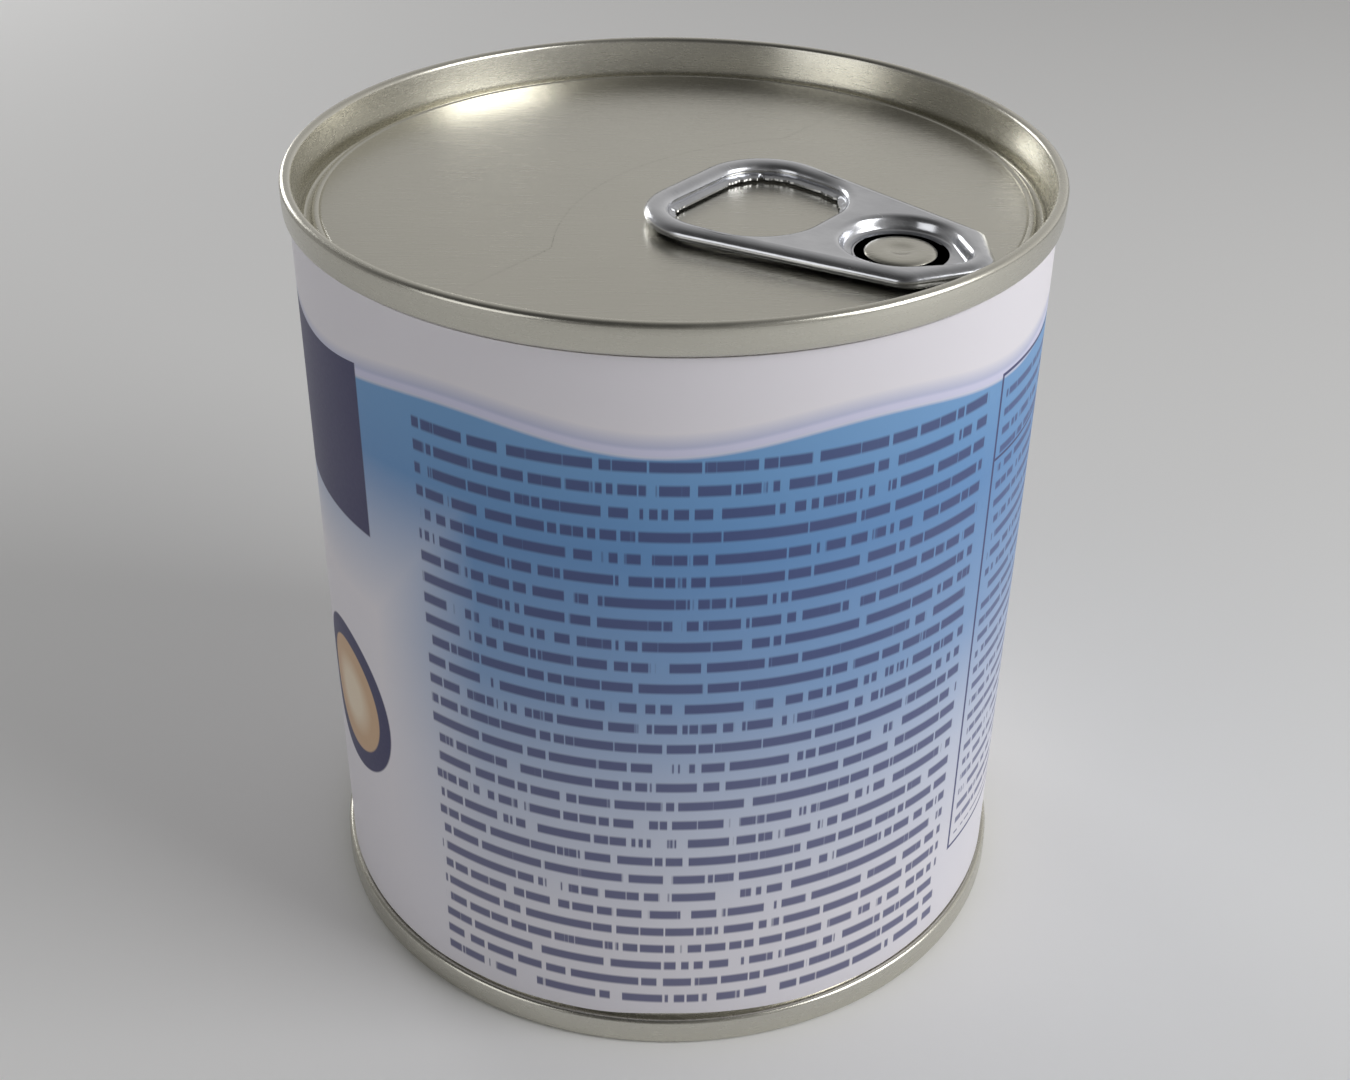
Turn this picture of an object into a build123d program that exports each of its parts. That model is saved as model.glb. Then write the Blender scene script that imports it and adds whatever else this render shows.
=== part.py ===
"""Condensed milk can: a seamed tin with a ring-pull lid and a paper label.

Millimetres. The origin is the middle of the rim that the can stands on, and +Z is up.
The can is shut, so its body is one filled solid between the two ends.
"""

import os

from build123d import *

# ---- The can as a whole ----
can_height = 81.0
body_radius = 36.5

# ---- Double seam, the same at both ends ----
seam_overhang = 0.8
seam_height = 3.0
seam_width = 1.15
rim_round = 0.42
hem_round = 0.45

# ---- Ends, pressed from thin plate ----
end_sheet = 0.22
lid_depth = 3.5
base_depth = 2.6
groove_inset = 2.18
groove_half_width = 0.5
groove_depth = 1.0
panel_shoulder = 0.35

# ---- Tear line round the lid ----
score_inset = 1.22
score_width = 0.3
score_depth = 0.08

# ---- Three shallow kidney-shaped steps pressed into the lid, largest first ----
# Each is a round outline cut off by a chord on the side of the ring pull.
step_depth = 0.15
step_slope = 1.4
step_radii = [29.0, 22.8, 15.0]
step_shifts = [0.2, 0.4, 0.7]
step_chords = [15.8, 11.7, 8.2]
step_chord_radii = [27.0, 120.0, 120.0]
step_corners = [4.5, 5.0, 4.0]

# ---- Ring pull, measured from its rivet along its length ----
tab_angle = -37.5
nose_past_score = 0.8
nose_reach = 9.1
tab_gap = 0.15
tab_thickness = 1.55
tab_length = 33.6
ring_width = 21.4
ring_corner = 7.0
nose_width = 14.0
nose_round = 3.0
nose_taper = 3.0
ring_band = 2.3
hole_length = 13.9
hole_back_corner = 5.0
hole_front_corner = 6.3
hole_front_width = 16.4
outer_edge_round = 0.7
hole_edge_round = 0.55

# ---- Sunken island of the ring pull, and the rivet that the lid is drawn up into ----
island_sheet = 0.3
island_radius = 5.2
island_nose_radius = 2.6
island_nose_wall = 2.1
island_edge_round = 0.4
boss_radius = 3.2
shank_radius = 1.9
shank_clearance = 0.1
rivet_head_radius = 3.3
rivet_head_height = 0.35
rivet_head_round = 0.12
rivet_dimple_radius = 1.3
rivet_dimple_depth = 0.12
slit_radius = 4.4
slit_width = 0.22
slit_start = 65
slit_sweep = 160

# ---- Paper label ----
label_thickness = 0.15
label_gap = 0.2

# ---- Places that follow from the sizes above ----
seam_radius = body_radius + seam_overhang
rim_inner_radius = seam_radius - seam_width
groove_radius = seam_radius - groove_inset
panel_radius = groove_radius - groove_half_width - panel_shoulder
score_radius = groove_radius - score_inset
panel_height = can_height - lid_depth
tab_bottom = panel_height + tab_gap
island_top = tab_bottom + island_sheet
rivet_distance = score_radius + nose_past_score - nose_reach

# ---- Working planes: the two half sections hang from their rims ----
lid_section = Plane.XZ.shift_origin((0, 0, can_height))
base_section = Plane(origin=(0, 0, 0), x_dir=(1, 0, 0), z_dir=(0, 1, 0))
lid_plane = Plane.XY.rotated((0, 0, tab_angle))
tab_plane = lid_plane.shift_origin(lid_plane.from_local_coords((rivet_distance, 0, 0)))

os.makedirs("parts", exist_ok=True)


def draw_visible_side(depth, scored):
    """The outer face of an end, from the axis out over the rim and down to the body wall."""
    panel_points = [(0, -depth)]
    if scored:
        panel_points += [
            (score_radius - score_width / 2, -depth),
            (score_radius, -depth - score_depth),
            (score_radius + score_width / 2, -depth),
        ]
    panel_line = Polyline(*panel_points, (panel_radius, -depth))
    shoulder = JernArc(panel_line @ 1, (1, 0), panel_shoulder, -90)
    groove_edge_depth = -depth - groove_depth + groove_half_width
    panel_wall = Line(shoulder @ 1, (groove_radius - groove_half_width, groove_edge_depth))
    groove = JernArc(panel_wall @ 1, (0, -1), groove_half_width, 180)
    chuck_wall = Line(groove @ 1, (rim_inner_radius, -rim_round))
    rim_inside = JernArc(chuck_wall @ 1, (0, 1), rim_round, -90)
    rim_top = Line(rim_inside @ 1, (seam_radius - rim_round, 0))
    rim_outside = JernArc(rim_top @ 1, (1, 0), rim_round, -90)
    seam_face = Line(rim_outside @ 1, (seam_radius, hem_round - seam_height))
    hem = JernArc(seam_face @ 1, (0, -1), hem_round, -90)
    Line(hem @ 1, (body_radius, -seam_height))


def draw_hidden_side(depth):
    """The inner face of an end, one sheet behind its outer face, from the body wall to the axis."""
    groove_edge = -depth - groove_depth + groove_half_width
    wall_foot = groove_radius + groove_half_width
    wall_lean = (rim_inner_radius - wall_foot) / (-rim_round - groove_edge)
    wall_at_seam = wall_foot + end_sheet + wall_lean * (-seam_height - groove_edge)
    under_seam = Line((body_radius, -seam_height), (wall_at_seam, -seam_height))
    chuck_wall = Line(under_seam @ 1, (wall_foot + end_sheet, groove_edge))
    groove = JernArc(chuck_wall @ 1, (0, -1), groove_half_width + end_sheet, -180)
    panel_wall = Line(groove @ 1, (panel_radius + panel_shoulder - end_sheet, -depth - panel_shoulder))
    shoulder = JernArc(panel_wall @ 1, (0, 1), panel_shoulder - end_sheet, 90)
    Line(shoulder @ 1, (0, -depth - end_sheet))


def step_outline(number, height, grow):
    """Kidney outline of one lid step at a height, larger by grow all round."""
    with BuildSketch(lid_plane.offset(height)) as outline:
        with Locations((step_shifts[number], 0)):
            Circle(step_radii[number] + grow)
        with Locations((step_chords[number] + step_chord_radii[number], 0)):
            Circle(step_chord_radii[number] - grow, mode=Mode.SUBTRACT)
        fillet(outline.vertices(), step_corners[number] + grow)
    return outline.sketch


def press_steps(surface, mode):
    """Sloping-sided recesses one inside the other, each starting on the floor of the last."""
    for number in range(len(step_radii)):
        upper = surface - number * step_depth
        lower_outline = step_outline(number, upper - step_depth, -step_slope / 2)
        upper_outline = step_outline(number, upper, step_slope / 2)
        loft([lower_outline, upper_outline], ruled=True, mode=mode)


# ---- Can body: the shut tin with its contents, filled up to the inner faces of both ends ----
with BuildPart() as can_body:
    for section, depth in ((lid_section, lid_depth), (base_section, base_depth)):
        with BuildSketch(section):
            with BuildLine():
                draw_hidden_side(depth)
                Polyline(
                    (0, -depth - end_sheet),
                    (0, -can_height / 2),
                    (body_radius, -can_height / 2),
                    (body_radius, -seam_height),
                )
            make_face()
        revolve(axis=Axis.Z)
    press_steps(panel_height - end_sheet, Mode.SUBTRACT)
can_body.part.label = "can_body"
export_step(can_body.part, "parts/can_body.step")

# ---- Top end: double seam, groove, tear line, stepped panel and the rivet drawn up from it ----
with BuildPart() as top_end:
    with BuildSketch(lid_section):
        with BuildLine():
            draw_visible_side(lid_depth, scored=True)
            draw_hidden_side(lid_depth)
            Line((0, -lid_depth - end_sheet), (0, -lid_depth))
        make_face()
    revolve(axis=Axis.Z)
    press_steps(panel_height - end_sheet, Mode.ADD)
    press_steps(panel_height, Mode.SUBTRACT)
    with BuildSketch(tab_plane.offset(panel_height)):
        Circle(boss_radius)
    extrude(amount=tab_gap)
    with BuildSketch(tab_plane.offset(tab_bottom)):
        Circle(shank_radius)
    extrude(amount=island_sheet)
    with BuildSketch(tab_plane.offset(island_top)):
        Circle(rivet_head_radius)
    extrude(amount=rivet_head_height)
    rivet_faces = top_end.faces().filter_by_position(
        Axis.Z, island_top + rivet_head_height / 2, can_height - rim_round
    )
    fillet(rivet_faces.filter_by(Plane.XY).edges(), rivet_head_round)
    with BuildSketch(tab_plane.offset(island_top + rivet_head_height)):
        Circle(rivet_dimple_radius)
    extrude(amount=-rivet_dimple_depth, mode=Mode.SUBTRACT)
top_end.part.label = "top_end"
export_step(top_end.part, "parts/top_end.step")

# ---- Bottom end: a plain seamed base, standing on its flat rim ----
with BuildPart() as bottom_end:
    with BuildSketch(base_section):
        with BuildLine():
            draw_visible_side(base_depth, scored=False)
            draw_hidden_side(base_depth)
            Line((0, -base_depth - end_sheet), (0, -base_depth))
        make_face()
    revolve(axis=Axis.Z)
bottom_end.part.label = "bottom_end"
export_step(bottom_end.part, "parts/bottom_end.step")

# ---- Label: a paper sleeve round the body, between the two seams ----
with BuildPart() as label:
    with BuildSketch(Plane.XY.offset(seam_height + label_gap)):
        Circle(body_radius + label_thickness)
        Circle(body_radius, mode=Mode.SUBTRACT)
    extrude(amount=can_height - 2 * (seam_height + label_gap))
label.part.label = "label"
export_step(label.part, "parts/label.step")

# ---- Ring pull: a curled-edge tab with a finger hole, its sunken island held by the rivet ----
ring_end = nose_reach - tab_length
ring_side = ring_width / 2 - ring_corner
nose_side = nose_width / 2 - nose_round
hole_end = ring_end + ring_band
hole_back_side = ring_width / 2 - ring_band - hole_back_corner
hole_front_side = hole_front_width / 2 - hole_front_corner
tip_centre = nose_reach - nose_round

with BuildPart() as pull_tab:
    with BuildSketch(tab_plane.offset(tab_bottom)):
        with BuildLine():
            for side in (-1, 1):
                CenterArc((ring_end + ring_corner, side * ring_side), ring_corner, 0, 360)
                CenterArc((tip_centre - nose_taper, side * nose_side), nose_round, 0, 360)
            CenterArc((tip_centre, 0), nose_round, 0, 360)
        make_hull()
    extrude(amount=tab_thickness)
    outer_edges = pull_tab.faces().filter_by(Plane.XY).edges()
    fillet(outer_edges, outer_edge_round)

    with BuildSketch(tab_plane.offset(tab_bottom)):
        with BuildLine():
            for side in (-1, 1):
                CenterArc((hole_end + hole_back_corner, side * hole_back_side), hole_back_corner, 0, 360)
                CenterArc(
                    (hole_end + hole_length - hole_front_corner, side * hole_front_side),
                    hole_front_corner, 0, 360,
                )
        make_hull()
    extrude(amount=tab_thickness, mode=Mode.SUBTRACT)
    hole_rims = [face.inner_wires()[0] for face in pull_tab.faces().filter_by(Plane.XY)]
    fillet([edge for rim in hole_rims for edge in rim.edges()], hole_edge_round)

    with BuildSketch(tab_plane.offset(island_top)):
        with BuildLine():
            CenterArc((0, 0), island_radius, 0, 360)
            island_nose = nose_reach - island_nose_wall - island_nose_radius
            CenterArc((island_nose, 0), island_nose_radius, 0, 360)
        make_hull()
    extrude(amount=tab_thickness - island_sheet, mode=Mode.SUBTRACT)
    top_face = pull_tab.faces().filter_by(Plane.XY).sort_by(Axis.Z)[-1]
    island_edge = top_face.inner_wires().sort_by_distance(tab_plane.offset(tab_bottom).origin)[0]
    fillet(island_edge.edges(), island_edge_round)

    with BuildSketch(tab_plane.offset(tab_bottom)):
        Circle(shank_radius + shank_clearance)
        SlotArc(CenterArc((0, 0), slit_radius, slit_start, slit_sweep), slit_width)
    extrude(amount=island_sheet, mode=Mode.SUBTRACT)
pull_tab.part.label = "pull_tab"
export_step(pull_tab.part, "parts/pull_tab.step")
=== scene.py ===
import math

import bmesh
import bpy
from mathutils import Matrix, Vector


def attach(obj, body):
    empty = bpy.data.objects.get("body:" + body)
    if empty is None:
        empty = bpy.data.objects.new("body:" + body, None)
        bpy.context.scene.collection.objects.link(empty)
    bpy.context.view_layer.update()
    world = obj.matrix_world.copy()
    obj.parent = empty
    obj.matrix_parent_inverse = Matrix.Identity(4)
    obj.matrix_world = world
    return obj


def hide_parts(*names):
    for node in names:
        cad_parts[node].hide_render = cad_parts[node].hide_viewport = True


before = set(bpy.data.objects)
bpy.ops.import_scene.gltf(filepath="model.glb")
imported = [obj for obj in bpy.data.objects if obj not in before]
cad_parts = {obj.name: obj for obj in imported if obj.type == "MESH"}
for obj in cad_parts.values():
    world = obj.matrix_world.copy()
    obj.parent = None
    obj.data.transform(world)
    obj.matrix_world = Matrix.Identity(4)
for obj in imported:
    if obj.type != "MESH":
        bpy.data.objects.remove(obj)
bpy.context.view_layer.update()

# ---- Stage and camera ----
# A plain pale floor with a soft studio: a broad window light on the right, weak lights at the left
# and behind, and a sky that is brightest to the right and back and dark overhead. The camera stands
# close in front of the can and looks down on it.
MM = 0.001
CAMERA_DISTANCE = 168.06 * MM
CAMERA_HEIGHT = 144.08 * MM
CAMERA_PITCH = math.radians(32.427)
CAMERA_YAW = math.radians(0.171)
CAMERA_ROLL = math.radians(0.711)
CAMERA_LENS = 48.96

camera_data = bpy.data.cameras.new("camera")
camera_data.lens = CAMERA_LENS
camera_data.sensor_width = 36.0
camera_data.sensor_fit = "HORIZONTAL"
camera_data.clip_start = 0.01
camera = bpy.data.objects.new("camera", camera_data)
camera.matrix_world = (
    Matrix.Translation((0.0, -CAMERA_DISTANCE, CAMERA_HEIGHT))
    @ Matrix.Rotation(-CAMERA_YAW, 4, "Z")
    @ Matrix.Rotation(math.pi / 2 - CAMERA_PITCH, 4, "X")
    @ Matrix.Rotation(CAMERA_ROLL, 4, "Z")
)
bpy.context.collection.objects.link(camera)
bpy.context.scene.camera = camera
bpy.context.scene.view_settings.view_transform = "Standard"


def add_node(tree, kind, **settings):
    """A shader node with its settings, and its inputs by name with underscores for spaces."""
    node = tree.nodes.new(kind)
    for name, value in settings.items():
        socket_name = name.replace("_", " ")
        if hasattr(node, name):
            setattr(node, name, value)
        elif isinstance(value, bpy.types.NodeSocket):
            tree.links.new(value, node.inputs[socket_name])
        else:
            node.inputs[socket_name].default_value = value
    return node


def calc(tree, operation, *values, clamp=False):
    """One step of arithmetic on sockets or numbers."""
    node = tree.nodes.new("ShaderNodeMath")
    node.operation = operation
    node.use_clamp = clamp
    for index, value in enumerate(values):
        if isinstance(value, bpy.types.NodeSocket):
            tree.links.new(value, node.inputs[index])
        else:
            node.inputs[index].default_value = value
    return node.outputs[0]


def blend_colors(tree, factor, under, over):
    """The over colour laid on the under colour by a factor."""
    node = tree.nodes.new("ShaderNodeMix")
    node.data_type = "RGBA"
    for index, value in ((0, factor), (6, under), (7, over)):
        if isinstance(value, bpy.types.NodeSocket):
            tree.links.new(value, node.inputs[index])
        else:
            node.inputs[index].default_value = value
    return node.outputs[2]


def new_finish(name):
    """An empty material with its shader, ready for nodes."""
    finish = bpy.data.materials.new(name)
    finish.use_nodes = True
    return finish, finish.node_tree, finish.node_tree.nodes["Principled BSDF"]


def srgb(red, green, blue):
    """A display colour of 0 to 255 as the linear colour that a shader takes."""
    linear = [((c / 255 + 0.055) / 1.055) ** 2.4 for c in (red, green, blue)]
    return (*linear, 1.0)


world = bpy.data.worlds.new("studio")
bpy.context.scene.world = world
world.use_nodes = True
sky = world.node_tree
SKY_LEVEL = 0.50
SKY_TO_RIGHT = 0.22
SKY_TO_BACK = 0.20
SKY_OVERHEAD = -0.38
SKY_LEAST = 0.06
SKY_COLOR = (1.0, 0.985, 0.96, 1.0)
facing_out = add_node(sky, "ShaderNodeTexCoord").outputs["Generated"]
direction = add_node(sky, "ShaderNodeSeparateXYZ", Vector=facing_out)
sideways = calc(sky, "MULTIPLY_ADD", direction.outputs["X"], SKY_TO_RIGHT, SKY_LEVEL)
backward = calc(sky, "MULTIPLY_ADD", direction.outputs["Y"], SKY_TO_BACK, sideways)
upward = calc(sky, "MULTIPLY_ADD", direction.outputs["Z"], SKY_OVERHEAD, backward)
sky.links.new(calc(sky, "MAXIMUM", upward, SKY_LEAST), sky.nodes["Background"].inputs["Strength"])
sky.nodes["Background"].inputs["Color"].default_value = SKY_COLOR

LIGHT_TARGET = Vector((0.0, 0.0, 0.05))
for light_name, place, size, power in (
    ("window_light", (0.42, -0.16, 0.34), 0.30, 1.5),
    ("back_light", (-0.30, 0.42, 0.20), 0.16, 0.35),
    ("fill_light", (-0.40, -0.30, 0.22), 0.30, 0.35),
):
    light_data = bpy.data.lights.new(light_name, "AREA")
    light_data.size = size
    light_data.energy = power
    light = bpy.data.objects.new(light_name, light_data)
    aim = LIGHT_TARGET - Vector(place)
    light.matrix_world = Matrix.Translation(place) @ aim.to_track_quat("-Z", "Y").to_matrix().to_4x4()
    bpy.context.collection.objects.link(light)

FLOOR_REACH = 3.0
FLOOR_COLOR = (0.86, 0.86, 0.86, 1.0)
FLOOR_ROUGHNESS = 0.8
floor_mesh = bmesh.new()
bmesh.ops.create_grid(floor_mesh, x_segments=1, y_segments=1, size=FLOOR_REACH)
floor_data = bpy.data.meshes.new("floor")
floor_mesh.to_mesh(floor_data)
floor_mesh.free()
floor = bpy.data.objects.new("floor", floor_data)
bpy.context.collection.objects.link(floor)
floor_finish, floor_tree, floor_shader = new_finish("pale_floor")
floor_shader.inputs["Base Color"].default_value = FLOOR_COLOR
floor_shader.inputs["Roughness"].default_value = FLOOR_ROUGHNESS
floor_data.materials.append(floor_finish)


# ---- Can body ----
# The tin wall of the shut can. Only a hairline of it shows, between the label and the seams.
# It keeps its CAD shape and gets the finish of the same plate as the ends.
CLOUD_SCALE = 90.0
DARKER_SHARE = 0.86
LIGHTER_SHARE = 1.08
ROUGHNESS_RANGE = 0.16


def plate_finish(name, tint, roughness, grain_scale, grain_height):
    """Bare tinplate: a warm grey metal with fine rolling lines and faint cloudy patches."""
    finish, tree, shader = new_finish(name)
    place = add_node(tree, "ShaderNodeTexCoord").outputs["Object"]
    lines = add_node(tree, "ShaderNodeMapping", Vector=place, Scale=grain_scale)
    grain = add_node(
        tree, "ShaderNodeTexNoise", Vector=lines.outputs[0], Scale=1.0, Detail=4.0, Roughness=0.6,
    )
    clouds = add_node(tree, "ShaderNodeTexNoise", Vector=place, Scale=CLOUD_SCALE, Detail=3.0)
    streak = calc(tree, "MULTIPLY_ADD", grain.outputs["Fac"], 0.34, 0.33)
    cloud = calc(tree, "MULTIPLY_ADD", clouds.outputs["Fac"], 0.3, streak, clamp=True)
    darker = tuple(c * DARKER_SHARE for c in tint) + (1.0,)
    lighter = tuple(min(c * LIGHTER_SHARE, 1.0) for c in tint) + (1.0,)
    tree.links.new(blend_colors(tree, cloud, darker, lighter), shader.inputs["Base Color"])
    rough = calc(
        tree, "MULTIPLY_ADD", grain.outputs["Fac"], ROUGHNESS_RANGE, roughness - ROUGHNESS_RANGE / 2,
    )
    tree.links.new(rough, shader.inputs["Roughness"])
    bump = add_node(tree, "ShaderNodeBump", Height=grain.outputs["Fac"], Strength=0.35, Distance=grain_height)
    tree.links.new(bump.outputs[0], shader.inputs["Normal"])
    shader.inputs["Metallic"].default_value = 1.0
    return finish


PLATE_TINT = (0.60, 0.585, 0.52)
seam_plate = plate_finish("seam_plate", PLATE_TINT, 0.26, (600.0, 600.0, 5200.0), 0.00001)
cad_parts["can_body"].data.materials.clear()
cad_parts["can_body"].data.materials.append(seam_plate)

# ---- Bottom end ----
# The base, pressed from tinplate and folded onto the body wall in a double seam that the can
# stands on. The base panel is set up inside the rim.
BODY_RADIUS = 36.5
SEAM_RADIUS = 37.3
SEAM_HEIGHT = 3.0
RIM_INNER = 36.15
GROOVE_RADIUS = 35.12
GROOVE_HALF = 0.5
GROOVE_DROP = 1.0
SHOULDER = 0.35
RIM_ROUND = 0.5
HEM_ROUND = 0.45
HEM_TUCK = 0.7
UNDERSIDE_GAP = 0.3
ROUND_SEGMENTS = 384


def arc_points(centre, radius, start, end, count):
    """Points on an arc of a profile, angles in degrees."""
    points = []
    for index in range(count + 1):
        angle = math.radians(start + (end - start) * index / count)
        points.append((centre[0] + radius * math.cos(angle), centre[1] + radius * math.sin(angle)))
    return points


def end_profile(panel_drop, start_radius):
    """Radius and drop from the rim: panel, shoulder, groove, wall, rim, seam and hem."""
    panel_edge = GROOVE_RADIUS - GROOVE_HALF - SHOULDER
    points = [(start_radius, -panel_drop), (panel_edge - 0.6, -panel_drop)]
    points += arc_points((panel_edge, -panel_drop - SHOULDER), SHOULDER, 90, 0, 6)
    groove_line = -panel_drop - GROOVE_DROP + GROOVE_HALF
    points += arc_points((GROOVE_RADIUS, groove_line), GROOVE_HALF, 180, 360, 12)
    points += arc_points((RIM_INNER + RIM_ROUND, -RIM_ROUND), RIM_ROUND, 172, 90, 7)
    points += arc_points((SEAM_RADIUS - RIM_ROUND, -RIM_ROUND), RIM_ROUND, 90, 8, 7)
    points += [(SEAM_RADIUS, -1.1), (SEAM_RADIUS - 0.02, -1.9)]
    points += arc_points((SEAM_RADIUS - RIM_ROUND, -SEAM_HEIGHT + HEM_ROUND), HEM_ROUND, -8, -90, 6)
    points += [(BODY_RADIUS - 0.1, -SEAM_HEIGHT), (BODY_RADIUS - HEM_TUCK, -SEAM_HEIGHT)]
    underside = -panel_drop - GROOVE_DROP - UNDERSIDE_GAP
    points += [(BODY_RADIUS - HEM_TUCK, underside), (start_radius, underside)]
    return points


def spin_profile(mesh, points, centre, closed, segments=ROUND_SEGMENTS):
    """Turns a profile of radius and height, in millimetres, once round a vertical axis."""
    corners = [mesh.verts.new(((centre[0] + r) * MM, centre[1] * MM, z * MM)) for r, z in points]
    pairs = list(zip(corners, corners[1:]))
    if closed:
        pairs.append((corners[-1], corners[0]))
    edges = [mesh.edges.new(pair) for pair in pairs]
    bmesh.ops.spin(
        mesh, geom=corners + edges, cent=(centre[0] * MM, centre[1] * MM, 0.0), axis=(0, 0, 1),
        angle=2 * math.pi, steps=segments, use_merge=True,
    )


def finish_piece(mesh, name, node, finishes, smooth_angle=40):
    """Makes the object of a modelled piece, hides the CAD node that it stands for and hangs the piece under
    the root body.
    """
    bmesh.ops.remove_doubles(mesh, verts=mesh.verts, dist=0.000001)
    bmesh.ops.recalc_face_normals(mesh, faces=mesh.faces)
    data = bpy.data.meshes.new(name)
    mesh.to_mesh(data)
    mesh.free()
    for finish in finishes:
        data.materials.append(finish)
    data.shade_smooth()
    data.set_sharp_from_angle(angle=math.radians(smooth_angle))
    piece = bpy.data.objects.new(name, data)
    bpy.context.collection.objects.link(piece)
    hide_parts(node)
    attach(piece, "root")
    return piece


BASE_DROP = 2.6
base_mesh = bmesh.new()
base_points = [(r, -z) for r, z in end_profile(BASE_DROP, 0.0)]
spin_profile(base_mesh, base_points, (0.0, 0.0), closed=False)
finish_piece(base_mesh, "base_end", "bottom_end", [seam_plate])

# ---- Top end ----
# The easy-open lid: a double seam, a groove inside it, a fine tear line, and three shallow
# kidney-shaped steps that go down towards the middle. The rivet is drawn up from the same plate.
CAN_HEIGHT = 81.0
LID_DROP = 3.5
PANEL_HEIGHT = CAN_HEIGHT - LID_DROP
SCORE_RADIUS = 33.9
SCORE_HALF = 0.13
SCORE_DEPTH = 0.1
TAB_ANGLE = math.radians(-37.5)
RIVET_DISTANCE = 25.6
TAB_GAP = 0.15
ISLAND_SHEET = 0.3
TAB_BOTTOM = PANEL_HEIGHT + TAB_GAP
ISLAND_TOP = TAB_BOTTOM + ISLAND_SHEET
STEP_DEPTH = 0.17
STEP_SLOPE = 1.5
LID_STEPS = [
    {"radius": 29.0, "shift": 0.2, "chord": 15.8, "chord_radius": 27.0},
    {"radius": 22.8, "shift": 0.4, "chord": 11.7, "chord_radius": 120.0},
    {"radius": 15.0, "shift": 0.7, "chord": 8.2, "chord_radius": 120.0},
]
CORNER_SHARPNESS = 0.75
FLAT_START = 31.0
SCORE_LEAD = 0.15
SCORE_EDGE = 0.01
SEAM_FINISH_FROM = 0.0341
STEP_PARTS = (-0.25, 0.0, 0.12, 0.25, 0.38, 0.5, 0.62, 0.75, 0.88, 1.0, 1.25)


def kidney_reach(step, turn, grow):
    """Distance from the can's axis to a step's outline, at an angle from the ring pull's line."""
    shift = step["shift"]
    rim = shift * math.cos(turn) + math.sqrt((step["radius"] + grow) ** 2 - (shift * math.sin(turn)) ** 2)
    chord_centre = step["chord"] + step["chord_radius"]
    inside = (step["chord_radius"] - grow) ** 2 - (chord_centre * math.sin(turn)) ** 2
    if inside <= 0 or math.cos(turn) <= 0:
        return rim
    chord = chord_centre * math.cos(turn) - math.sqrt(inside)
    nearness = math.exp(-CORNER_SHARPNESS * rim) + math.exp(-CORNER_SHARPNESS * chord)
    return -math.log(nearness) / CORNER_SHARPNESS


def add_loop(mesh, place_vertex, segments=ROUND_SEGMENTS):
    """A closed loop of edges: a circle whose vertices are each placed by a rule, in millimetres."""
    made = bmesh.ops.create_circle(mesh, segments=segments, radius=1.0)
    for corner in made["verts"]:
        turn = math.atan2(corner.co.y, corner.co.x)
        corner.co = Vector(place_vertex(turn)) * MM
    return list({edge for corner in made["verts"] for edge in corner.link_edges})


def bridge_all(mesh, loops):
    """Joins each loop to the next with a band of faces.

    Known fault: on the lid's panel and on the ring pull's island the bands twist, so faces lie over
    each other there. The steps of the lid are hidden under them.
    """
    for first, second in zip(loops, loops[1:]):
        bmesh.ops.bridge_loops(mesh, edges=first + second)


lid_mesh = bmesh.new()
lid_points = [(r, CAN_HEIGHT + z) for r, z in end_profile(LID_DROP, FLAT_START)]
score_notch = [
    (SCORE_RADIUS - SCORE_HALF - SCORE_LEAD, PANEL_HEIGHT),
    (SCORE_RADIUS - SCORE_HALF, PANEL_HEIGHT - SCORE_EDGE),
    (SCORE_RADIUS, PANEL_HEIGHT - SCORE_DEPTH),
    (SCORE_RADIUS + SCORE_HALF, PANEL_HEIGHT - SCORE_EDGE),
]
lid_points = lid_points[:1] + score_notch + lid_points[2:]
spin_profile(lid_mesh, lid_points, (0.0, 0.0), closed=False)
lid_mesh.edges.ensure_lookup_table()
inner_edges = [
    edge for edge in lid_mesh.edges
    if edge.is_boundary and all(abs(v.co.z - PANEL_HEIGHT * MM) < 0.00001 for v in edge.verts)
]
under_edges = [edge for edge in lid_mesh.edges if edge.is_boundary and edge not in inner_edges]
bmesh.ops.contextual_create(lid_mesh, geom=under_edges)
seam_faces = set(lid_mesh.faces)

panel_loops = [inner_edges]
for number, step in enumerate(LID_STEPS):
    for part in STEP_PARTS:
        share = min(max(part, 0.0), 1.0)
        grow = STEP_SLOPE * (0.5 - part)
        height = PANEL_HEIGHT - STEP_DEPTH * (number + share * share * (3 - 2 * share))

        def place_on_step(turn, step=step, grow=grow, height=height):
            reach = kidney_reach(step, turn - TAB_ANGLE, grow)
            return (reach * math.cos(turn), reach * math.sin(turn), height)

        panel_loops.append(add_loop(lid_mesh, place_on_step))
bridge_all(lid_mesh, panel_loops)
bmesh.ops.contextual_create(lid_mesh, geom=panel_loops[-1])
for face in lid_mesh.faces:
    outside = face.calc_center_median().xy.length > SEAM_FINISH_FROM
    face.material_index = 1 if face in seam_faces and outside else 0

RIVET_RISE = 0.35
RIVET_TOP = ISLAND_TOP + RIVET_RISE
RIVET_HEAD = 3.3
SHANK_RADIUS = 1.9
SHANK_FOOT = -0.95
rivet_centre = (RIVET_DISTANCE * math.cos(TAB_ANGLE), RIVET_DISTANCE * math.sin(TAB_ANGLE))
rivet_profile = [(0.0, -0.16), (0.6, -0.15), (1.0, -0.08), (1.35, -0.01), (1.8, 0.0)]
rivet_profile += [(2.5, -0.01), (2.9, -0.05), (3.15, -0.14), (RIVET_HEAD, -0.28), (3.2, -0.34)]
rivet_profile += [(SHANK_RADIUS, -RIVET_RISE), (SHANK_RADIUS, SHANK_FOOT), (0.0, SHANK_FOOT)]
rivet_points = [(r, RIVET_TOP + z) for r, z in rivet_profile]
spin_profile(lid_mesh, rivet_points, rivet_centre, closed=False, segments=96)

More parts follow.
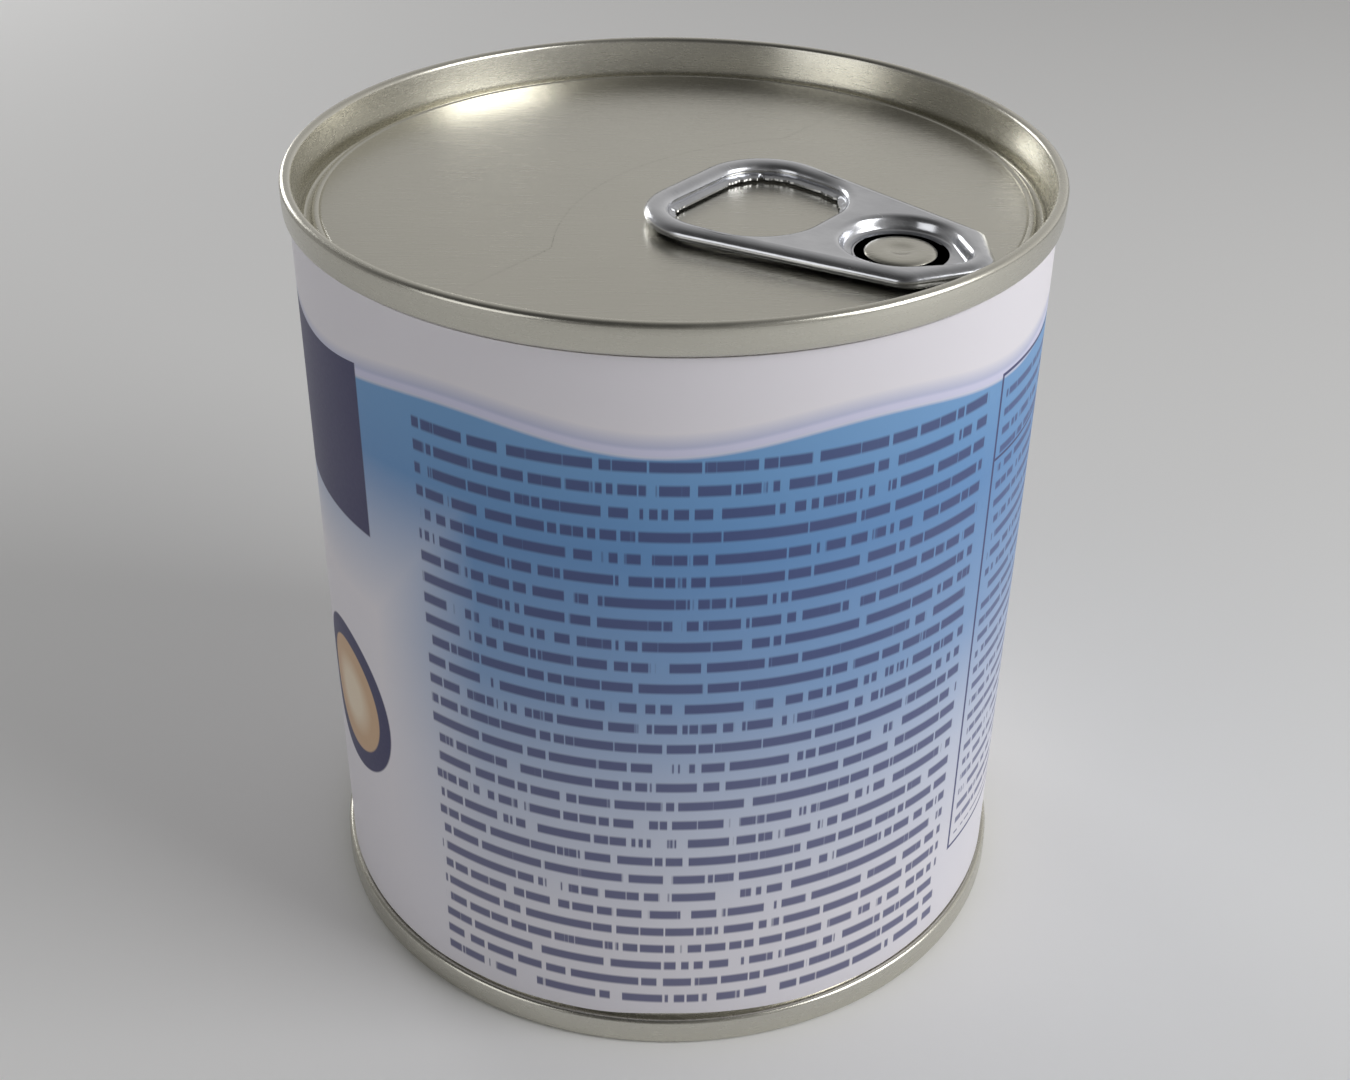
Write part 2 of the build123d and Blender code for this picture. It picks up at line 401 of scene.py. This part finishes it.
panel_plate = plate_finish("panel_plate", PLATE_TINT, 0.25, (170.0, 5200.0, 170.0), 0.00004)
finish_piece(lid_mesh, "lid", "top_end", [panel_plate, seam_plate])

# ---- Ring pull ----
# A stamped aluminium tab with its edges curled under: a finger ring, a web, and a sunken island
# that the rivet holds, with a C-shaped slit round it so that the tab can tip up on its nose.
TAB_THICKNESS = 1.55
CURL_WIDTH = 1.2
HOLE_CURL = 1.05
CURL_HEIGHT = TAB_THICKNESS / 2
CURL_STEPS = 14
RING_OUTLINE = [
    (-17.5, 3.7, 7.0), (-17.5, -3.7, 7.0), (3.1, 4.0, 3.0), (3.1, -4.0, 3.0), (6.1, 0.0, 3.0),
]
HOLE_OUTLINE = [(-17.2, 3.4, 5.0), (-17.2, -3.4, 5.0), (-14.6, 1.9, 6.3), (-14.6, -1.9, 6.3)]
ISLAND_OUTLINE = [(0.0, 0.0, 5.4), (4.2, 0.0, 2.6)]
ISLAND_WALL = (
    (0.75, 1.55), (0.5, 1.52), (0.28, 1.43), (0.12, 1.28), (0.0, 1.05), (-0.12, 0.75),
    (-0.22, 0.5), (-0.36, 0.36), (-0.55, ISLAND_SHEET),
)
SHANK_HOLE = 2.0
SLIT_DEPTH = 0.22
SLIT_FACING = math.radians(146)
SLIT_HALF = math.radians(84)
SLIT_END = math.radians(4)
TAB_SEGMENTS = 256


def outline_point(circles, turn, grow):
    """The point of a band stretched round some circles where it faces the given way."""
    facing = (math.cos(turn), math.sin(turn))
    best = max(circles, key=lambda c: c[0] * facing[0] + c[1] * facing[1] + c[2])
    return (best[0] + (best[2] + grow) * facing[0], best[1] + (best[2] + grow) * facing[1])


def tab_loop(mesh, circles, grow, height):
    """A closed loop of the ring pull, at a height above its underside."""
    def place_on_tab(turn):
        x, y = outline_point(circles, turn, grow)
        return (x, y, height)
    return add_loop(mesh, place_on_tab, TAB_SEGMENTS)


tab_mesh = bmesh.new()
outer_loops = []
hole_loops = []
for index in range(CURL_STEPS + 1):
    swing = math.radians(-90 + 180 * index / CURL_STEPS)
    height = CURL_HEIGHT * (1 + math.sin(swing))
    outer_loops.append(tab_loop(tab_mesh, RING_OUTLINE, CURL_WIDTH * (math.cos(swing) - 1), height))
    hole_loops.append(tab_loop(tab_mesh, HOLE_OUTLINE, HOLE_CURL * (1 - math.cos(swing)), height))
bridge_all(tab_mesh, outer_loops)
bridge_all(tab_mesh, hole_loops)

island_loops = []
for grow, height in ISLAND_WALL:
    island_loops.append(tab_loop(tab_mesh, ISLAND_OUTLINE, grow, height))
bridge_all(tab_mesh, island_loops)
web_edges = outer_loops[-1] + hole_loops[-1] + island_loops[0]
bmesh.ops.triangle_fill(tab_mesh, edges=web_edges, use_beauty=True)
bmesh.ops.triangle_fill(tab_mesh, edges=outer_loops[0] + hole_loops[0], use_beauty=True)


def slit_depth(turn):
    """How much of the slit is open at an angle: all of it on the ring's side, none at the nose."""
    away = abs(math.atan2(math.sin(turn - SLIT_FACING), math.cos(turn - SLIT_FACING)))
    return min(max((SLIT_HALF - away) / SLIT_END, 0.0), 1.0)


def island_ring(radius, sunk):
    """A ring of the island's floor round the rivet, sunk by so many millimetres in the slit."""
    def place_on_island(turn):
        height = ISLAND_SHEET - sunk * slit_depth(turn)
        return (radius * math.cos(turn), radius * math.sin(turn), height)
    return add_loop(tab_mesh, place_on_island, TAB_SEGMENTS)


floor_rings = [island_loops[-1]]
for radius, sunk in (
    (4.6, 0.0), (4.46, 0.0), (4.44, SLIT_DEPTH), (4.38, SLIT_DEPTH), (4.36, 0.0), (4.2, 0.0),
    (SHANK_HOLE, 0.0),
):
    floor_rings.append(island_ring(radius, sunk))
bridge_all(tab_mesh, floor_rings[1:])
bmesh.ops.triangle_fill(tab_mesh, edges=floor_rings[0] + floor_rings[1], use_beauty=True)

LIP_REACH = 0.55
lip_loops = []
for reach, height in ((0.25, 0.62), (0.0, 0.5), (-1.0, 0.3), (-1.0, 0.1), (0.25, 0.08)):
    def place_on_lip(turn, reach=reach, height=height):
        ragged = 0.06 * math.sin(23 * turn) + 0.04 * math.sin(41 * turn + 1.0)
        tongue = min(1.0, 5.0 * abs(math.sin(2.5 * turn + 0.6)))
        grow = reach if reach >= 0 else -LIP_REACH * tongue + ragged
        x, y = outline_point(HOLE_OUTLINE, turn, grow)
        return (x, y, height)
    lip_loops.append(add_loop(tab_mesh, place_on_lip, TAB_SEGMENTS))
bridge_all(tab_mesh, lip_loops + lip_loops[:1])

NOSE_LIFT = 0.28
NOSE_START = 2.0
NOSE_RUN = 6.0
LIFTED_FROM = 0.4
for corner in tab_mesh.verts:
    along = min(max((corner.co.x / MM - NOSE_START) / NOSE_RUN, 0.0), 1.0)
    if corner.co.z > LIFTED_FROM * MM:
        corner.co.z += NOSE_LIFT * along * along * MM
bmesh.ops.rotate(tab_mesh, verts=tab_mesh.verts, cent=(0, 0, 0), matrix=Matrix.Rotation(TAB_ANGLE, 3, "Z"))
tab_place = Vector((rivet_centre[0], rivet_centre[1], TAB_BOTTOM)) * MM
bmesh.ops.translate(tab_mesh, verts=tab_mesh.verts, vec=tab_place)


TAB_DARK = (0.50, 0.51, 0.54, 1.0)
TAB_LIGHT = (0.72, 0.73, 0.76, 1.0)


def tab_finish():
    """Stamped aluminium: cool and bright, with fine drawn lines and small dents from tumbling."""
    finish, tree, shader = new_finish("stamped_aluminium")
    place = add_node(tree, "ShaderNodeTexCoord").outputs["Object"]
    turned = add_node(tree, "ShaderNodeMapping", Vector=place, Rotation=(0.0, 0.0, -TAB_ANGLE))
    lines = add_node(tree, "ShaderNodeMapping", Vector=turned.outputs[0], Scale=(300.0, 4500.0, 2500.0))
    drawn = add_node(tree, "ShaderNodeTexNoise", Vector=lines.outputs[0], Scale=1.0, Detail=3.0)
    dents = add_node(tree, "ShaderNodeTexNoise", Vector=place, Scale=420.0, Detail=2.0)
    drawn_part = calc(tree, "MULTIPLY", drawn.outputs["Fac"], 0.4)
    shade = calc(tree, "MULTIPLY_ADD", dents.outputs["Fac"], 0.6, drawn_part)
    color = blend_colors(tree, shade, TAB_DARK, TAB_LIGHT)
    tree.links.new(color, shader.inputs["Base Color"])
    rough = calc(tree, "MULTIPLY_ADD", drawn.outputs["Fac"], 0.18, 0.14)
    tree.links.new(rough, shader.inputs["Roughness"])
    fine = add_node(tree, "ShaderNodeBump", Height=drawn.outputs["Fac"], Strength=0.3, Distance=0.00001)
    soft = add_node(tree, "ShaderNodeBump", Height=dents.outputs["Fac"], Strength=0.35, Distance=0.00008)
    tree.links.new(fine.outputs[0], soft.inputs["Normal"])
    tree.links.new(soft.outputs[0], shader.inputs["Normal"])
    shader.inputs["Metallic"].default_value = 1.0
    return finish


finish_piece(tab_mesh, "ring_pull", "pull_tab", [tab_finish()])

# ---- Label ----
# A printed paper sleeve glued round the body between the seams. Its bottom edge has lifted a
# little at the front. The print is plain fields: a wavy-topped blue panel that fades to white,
# a dark field, a disc, and rows of small bars where the small print would be.
LABEL_RADIUS = 36.65
LABEL_BOTTOM = 3.25
LABEL_TOP = 77.75
LABEL_THICKNESS = 0.14
LIFT_ANGLE = math.radians(-88)
LIFT_WIDTH = math.radians(11)
LIFT_HEIGHT = 0.55
LIFTED_BELOW = 4.0

label_mesh = bmesh.new()
label_profile = [(LABEL_RADIUS - LABEL_THICKNESS, LABEL_BOTTOM), (LABEL_RADIUS, LABEL_BOTTOM)]
label_profile += [(LABEL_RADIUS, z) for z in (5.0, 8.0, 20.0, 35.0, 50.0, 65.0, 75.0)]
label_profile += [(LABEL_RADIUS, LABEL_TOP), (LABEL_RADIUS - LABEL_THICKNESS, LABEL_TOP)]
spin_profile(label_mesh, label_profile, (0.0, 0.0), closed=True)
for corner in label_mesh.verts:
    if corner.co.z < LIFTED_BELOW * MM:
        turn = math.atan2(corner.co.y, corner.co.x)
        bend = math.exp(-(((turn - LIFT_ANGLE) / LIFT_WIDTH) ** 2))
        ripple = 0.12 * math.sin(9 * turn) + 0.06 * math.sin(23 * turn + 0.7)
        corner.co.z += (LIFT_HEIGHT * bend + 0.5 * ripple) * MM


def band(tree, value, low, high, soft):
    """1 where a value lies between two limits, with soft ends."""
    rise = calc(tree, "DIVIDE", calc(tree, "SUBTRACT", value, low - soft / 2), soft, clamp=True)
    fall = calc(tree, "DIVIDE", calc(tree, "SUBTRACT", high + soft / 2, value), soft, clamp=True)
    return calc(tree, "MULTIPLY", rise, fall)


GAP_LEVEL = 0.41
GAP_EDGE = 0.025
PRINT_EDGE = 0.1


def print_bars(tree, around, height, limits, pitch, share, word_scale):
    """Rows of small bars with gaps, between left, right, bottom and top limits."""
    left, right, bottom, top = limits
    row_place = calc(tree, "DIVIDE", calc(tree, "SUBTRACT", top, height), pitch)
    row = calc(tree, "FLOOR", row_place)
    in_row = band(tree, calc(tree, "FRACT", row_place), 0.5 - share / 2, 0.5 + share / 2, 0.12)
    words = add_node(tree, "ShaderNodeCombineXYZ")
    tree.links.new(calc(tree, "MULTIPLY", around, word_scale), words.inputs["X"])
    tree.links.new(calc(tree, "MULTIPLY", row, 7.31), words.inputs["Y"])
    gaps = add_node(
        tree, "ShaderNodeTexNoise", Vector=words.outputs[0], Scale=1.0, Detail=1.5, Roughness=0.7,
    )
    over_gap = calc(tree, "SUBTRACT", gaps.outputs["Fac"], GAP_LEVEL)
    inked = calc(tree, "DIVIDE", over_gap, GAP_EDGE, clamp=True)
    across = band(tree, around, left, right, PRINT_EDGE)
    window = calc(tree, "MULTIPLY", across, band(tree, height, bottom, top, PRINT_EDGE))
    return calc(tree, "MULTIPLY", calc(tree, "MULTIPLY", in_row, inked), window)


WAVE_COUNT = 6.0
WAVE_START = 3.35
WAVE_HEIGHT = 0.95
PANEL_TOP = 70.3
PAPER = srgb(236, 233, 240)
NAVY = srgb(38, 38, 92)
INK = srgb(36, 44, 108)
PANEL_FOOT = srgb(232, 229, 236)
PANEL_HEAD = srgb(110, 163, 214)
PANEL_STEPS = (
    (0.2, (228, 227, 236)), (0.4, (196, 205, 226)), (0.6, (128, 163, 208)), (0.82, (92, 144, 200)),
)
DISC_CENTRE = (-40.0, 29.0)


def label_finish():
    """Printed paper with a soft shine, its pattern worked out from angle and height."""
    finish, tree, shader = new_finish("printed_paper")
    place = add_node(tree, "ShaderNodeTexCoord").outputs["Object"]
    axes = add_node(tree, "ShaderNodeSeparateXYZ", Vector=place)
    turn = calc(tree, "ARCTAN2", axes.outputs["X"], calc(tree, "MULTIPLY", axes.outputs["Y"], -1.0))
    around = calc(tree, "MULTIPLY", turn, LABEL_RADIUS)
    height = calc(tree, "MULTIPLY", axes.outputs["Z"], 1000.0)

    wave_turn = calc(tree, "MULTIPLY_ADD", turn, WAVE_COUNT, WAVE_START)
    wave = calc(tree, "MULTIPLY", calc(tree, "COSINE", wave_turn), WAVE_HEIGHT)
    below = calc(tree, "SUBTRACT", calc(tree, "ADD", wave, PANEL_TOP), height)
    fade = add_node(tree, "ShaderNodeValToRGB", Fac=calc(tree, "DIVIDE", height, 72.0))
    ramp = fade.color_ramp
    ramp.elements[0].position = 0.0
    ramp.elements[0].color = PANEL_FOOT
    ramp.elements[1].position = 1.0
    ramp.elements[1].color = PANEL_HEAD
    for position, color in PANEL_STEPS:
        ramp.elements.new(position).color = srgb(*color)
    side_fade = calc(tree, "DIVIDE", calc(tree, "SUBTRACT", around, -32.0), 14.0, clamp=True)
    top_hold = calc(tree, "DIVIDE", calc(tree, "SUBTRACT", height, 44.0), 18.0, clamp=True)
    inside = calc(tree, "MAXIMUM", side_fade, top_hold)
    panel = blend_colors(tree, inside, PAPER, fade.outputs["Color"])
    edge_distance = calc(tree, "DIVIDE", calc(tree, "ABSOLUTE", below), 1.5)
    shadow = calc(tree, "SUBTRACT", 1.0, edge_distance, clamp=True)
    print_color = blend_colors(tree, calc(tree, "MULTIPLY", shadow, 0.55), PAPER, srgb(126, 146, 205))
    panel_part = calc(tree, "DIVIDE", calc(tree, "SUBTRACT", below, 0.75), 0.35, clamp=True)
    print_color = blend_colors(tree, panel_part, print_color, panel)
    print_color = blend_colors(tree, band(tree, below, 0.0, 0.7, 0.35), print_color, srgb(214, 214, 240))

    field_across = band(tree, around, -52.0, -31.8, 0.15)
    field = calc(tree, "MULTIPLY", field_across, band(tree, height, 52.3, 80.0, 0.2))
    field = calc(tree, "MULTIPLY", field, calc(tree, "GREATER_THAN", below, -0.4))
    print_color = blend_colors(tree, field, print_color, NAVY)
    disc_across = calc(tree, "SUBTRACT", around, DISC_CENTRE[0])
    disc_up = calc(tree, "SUBTRACT", height, DISC_CENTRE[1])
    across_squared = calc(tree, "POWER", disc_across, 2.0)
    disc = calc(tree, "SQRT", calc(tree, "ADD", across_squared, calc(tree, "POWER", disc_up, 2.0)))
    print_color = blend_colors(tree, band(tree, disc, -9.0, 8.6, 0.2), print_color, NAVY)
    print_color = blend_colors(tree, band(tree, disc, -9.0, 6.4, 0.2), print_color, srgb(214, 178, 140))
    print_color = blend_colors(tree, band(tree, disc, -9.0, 3.6, 2.4), print_color, srgb(240, 222, 196))

    small_print = print_bars(tree, around, height, (-24.2, 32.2, 4.6, 68.8), 2.29, 0.46, 0.85)
    print_color = blend_colors(tree, calc(tree, "MULTIPLY", small_print, 0.86), print_color, INK)
    table_bars = print_bars(tree, around, height, (35.6, 52.0, 14.0, 67.5), 1.95, 0.4, 1.1)
    print_color = blend_colors(tree, calc(tree, "MULTIPLY", table_bars, 0.8), print_color, srgb(40, 50, 116))
    outer_width = band(tree, around, 34.4, 54.0, PRINT_EDGE)
    box_across = calc(tree, "MULTIPLY", outer_width, band(tree, height, 12.6, 69.0, PRINT_EDGE))
    inner_width = band(tree, around, 34.75, 53.65, PRINT_EDGE)
    box_inner = calc(tree, "MULTIPLY", inner_width, band(tree, height, 12.95, 68.65, PRINT_EDGE))
    rule = band(tree, height, 59.8, 60.1, PRINT_EDGE)
    inner_keep = calc(tree, "MULTIPLY", box_inner, calc(tree, "SUBTRACT", 1.0, rule))
    frame_line = calc(tree, "SUBTRACT", box_across, inner_keep, clamp=True)
    print_color = blend_colors(tree, frame_line, print_color, INK)

    mottle = add_node(tree, "ShaderNodeTexNoise", Vector=place, Scale=2600.0, Detail=3.0)
    clouding = add_node(tree, "ShaderNodeTexNoise", Vector=place, Scale=45.0, Detail=2.0)
    toned = calc(tree, "MULTIPLY", clouding.outputs["Fac"], 0.10)
    print_color = blend_colors(tree, toned, print_color, srgb(190, 188, 196))
    tree.links.new(print_color, shader.inputs["Base Color"])
    rough = calc(tree, "MULTIPLY_ADD", mottle.outputs["Fac"], 0.14, 0.42)
    tree.links.new(rough, shader.inputs["Roughness"])
    bump = add_node(tree, "ShaderNodeBump", Height=mottle.outputs["Fac"], Strength=0.12, Distance=0.00002)
    tree.links.new(bump.outputs[0], shader.inputs["Normal"])
    shader.inputs["Coat Weight"].default_value = 0.12
    shader.inputs["Coat Roughness"].default_value = 0.3
    return finish


finish_piece(label_mesh, "paper_label", "label", [label_finish()])
